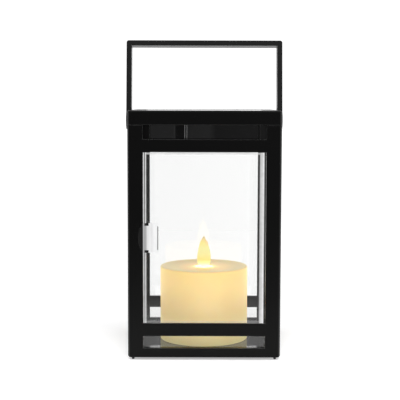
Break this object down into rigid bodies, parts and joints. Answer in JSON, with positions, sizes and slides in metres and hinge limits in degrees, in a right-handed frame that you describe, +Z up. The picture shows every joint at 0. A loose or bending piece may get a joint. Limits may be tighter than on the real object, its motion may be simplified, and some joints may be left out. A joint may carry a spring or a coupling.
{
  "type": "solar lantern",
  "caption": "Square black patio solar lantern with a folding bail handle, clear sides, a hinged clear door and a flameless moving-flame candle.",
  "frame": {"origin": "on the ground at the centre of the square footprint", "axes": "+Z up, the clear door faces -Y, its hinge is on the +X side"},
  "size_m": [0.1502, 0.1425, 0.2955],
  "materials": {
    "black plastic": "satin moulded ABS",
    "glossy black plastic": "polished",
    "clear acrylic": "clear, polished",
    "rubber feet": "matte",
    "zinc screws": "zinc plated",
    "steel pin": "plain",
    "solar board": "white laminate",
    "silicon cells": "dark blue polycrystalline",
    "panel glass": "clear, polished",
    "circuit board": "green solder mask",
    "cell sleeve": "shrink sleeve",
    "contact metal": "nickel plated",
    "wire insulation": "soft PVC",
    "red wire": "soft PVC",
    "switch plastic": "satin",
    "knob plastic": "satin",
    "candle wax": "waxy, translucent",
    "wick collar": "satin",
    "chassis plastic": "satin",
    "copper winding": "enamelled copper wire",
    "flame plastic": "translucent, lit from below",
    "led lens": "clear lens",
    "magnet": "nickel plated"
  },
  "bodies": {
    "lantern": {"body_frame": "black plastic", "feet": "rubber feet", "floor_plate": "glossy black plastic", "floor_screws": "zinc screws", "candle_screws": "zinc screws", "left_clear_panel": "clear acrylic", "right_clear_panel": "clear acrylic", "rear_clear_panel": "clear acrylic", "front_lower_clear_strip": "clear acrylic", "lid": "black plastic", "lid_screws": "zinc screws", "solar_panel_backing_board": "solar board", "solar_cells": "silicon cells", "solar_panel_window": "panel glass", "electronics_housing": "glossy black plastic", "housing_screws": "zinc screws", "charge_controller_board": "circuit board", "board_screws": "zinc screws", "rechargeable_cell": "cell sleeve", "battery_contacts": "contact metal", "switch_body": "switch plastic", "solar_panel_wires": "red wire", "candle_cable": "wire insulation", "candle_wax_shell": "candle wax", "candle_base_cap": "switch plastic", "flame_driver_board": "circuit board", "flame_chassis": "chassis plastic", "drive_coil": "copper winding", "flame_pivot_wire": "steel pin", "wick_collar": "wick collar", "flame_LED": "led lens", "flame_LED_wires": "red wire"},
    "handle": {"folding_handle": "black plastic"},
    "door": {"clear_door": "clear acrylic", "door_hinge_pins": "steel pin", "door_finger_pull": "clear acrylic"},
    "battery cover": {"battery_door": "glossy black plastic", "battery_door_screw": "zinc screws"},
    "switch": {"switch_knob": "knob plastic"},
    "flame": {"flame_plate": "flame plastic", "flame_magnet": "magnet"}
  },
  "joints": [
    {"name": "handle_fold", "type": "hinge", "parent": "lantern", "child": "handle", "pos_m": [0, 0, 0.2191], "axis": [1, 0, 0], "range_deg": [-82, 97]},
    {"name": "door_swing", "type": "hinge", "parent": "lantern", "child": "door", "pos_m": [0.0542, -0.0685, 0.1127], "axis": [0, 0, 1], "range_deg": [0, 105]},
    {"name": "battery_cover_lift", "type": "slide", "parent": "lantern", "child": "battery cover", "axis": [0, 0, -1], "range_m": [0, 0.04]},
    {"name": "switch_slide", "type": "slide", "parent": "lantern", "child": "switch", "axis": [1, 0, 0], "range_m": [-0.005, 0]},
    {"name": "flame_sway", "type": "hinge", "parent": "lantern", "child": "flame", "pos_m": [0, -0.0078, 0.0655], "axis": [0, 1, 0], "range_deg": [-6, 6]}
  ]
}
